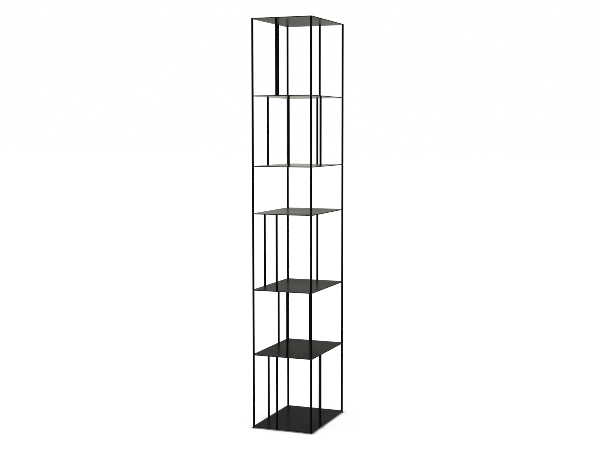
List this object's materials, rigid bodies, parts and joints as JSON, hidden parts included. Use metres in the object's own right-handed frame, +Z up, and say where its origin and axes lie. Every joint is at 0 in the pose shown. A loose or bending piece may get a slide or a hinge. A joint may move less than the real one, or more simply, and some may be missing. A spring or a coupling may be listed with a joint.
{
  "type": "bookshelf tower",
  "caption": "Tall narrow open bookcase: thin black steel shelves on slim round corner posts, with upright divider rods along the edges of its uneven bays.",
  "frame": {"origin": "on the floor, under the middle of the shelves", "axes": "+Z up, X along the width and Y along the depth, with the front at -Y"},
  "size_m": [0.3, 0.44, 1.921],
  "materials": {
    "shelf_steel": "semi-gloss black powder coat on steel plate",
    "bar_steel": "semi-gloss black powder coat on round steel bar",
    "screw_black": "satin black oxide",
    "stud_zinc": "zinc plated",
    "glide_nylon": "matt black nylon"
  },
  "bodies": {
    "root": {"glide_back_left": "glide_nylon", "glide_back_right": "glide_nylon", "glide_front_left": "glide_nylon", "glide_front_right": "glide_nylon", "glide_stems": "stud_zinc", "post_1_back_left": "bar_steel", "post_1_back_right": "bar_steel", "post_1_front_left": "bar_steel", "post_1_front_right": "bar_steel", "post_2_back_left": "bar_steel", "post_2_back_right": "bar_steel", "post_2_front_left": "bar_steel", "post_2_front_right": "bar_steel", "post_3_back_left": "bar_steel", "post_3_back_right": "bar_steel", "post_3_front_left": "bar_steel", "post_3_front_right": "bar_steel", "post_4_back_left": "bar_steel", "post_4_back_right": "bar_steel", "post_4_front_left": "bar_steel", "post_4_front_right": "bar_steel", "post_5_back_left": "bar_steel", "post_5_back_right": "bar_steel", "post_5_front_left": "bar_steel", "post_5_front_right": "bar_steel", "post_6_back_left": "bar_steel", "post_6_back_right": "bar_steel", "post_6_front_left": "bar_steel", "post_6_front_right": "bar_steel", "post_screws": "screw_black", "post_studs": "stud_zinc", "rod_1_back": "bar_steel", "rod_1_front": "bar_steel", "rod_1_left": "bar_steel", "rod_2_back": "bar_steel", "rod_2_front": "bar_steel", "rod_2_left": "bar_steel", "rod_2_right": "bar_steel", "rod_4_back": "bar_steel", "rod_4_front": "bar_steel", "rod_4_left": "bar_steel", "rod_5_back": "bar_steel", "rod_5_front": "bar_steel", "rod_5_left": "bar_steel", "rod_6_back": "bar_steel", "rod_6_front": "bar_steel", "rod_6_left": "bar_steel", "rod_6_right": "bar_steel", "rod_foot_screws": "screw_black", "rod_top_screws": "screw_black", "shelf_1": "shelf_steel", "shelf_2": "shelf_steel", "shelf_3": "shelf_steel", "shelf_4": "shelf_steel", "shelf_5": "shelf_steel", "shelf_6": "shelf_steel", "shelf_7": "shelf_steel"}
  },
  "joints": []
}
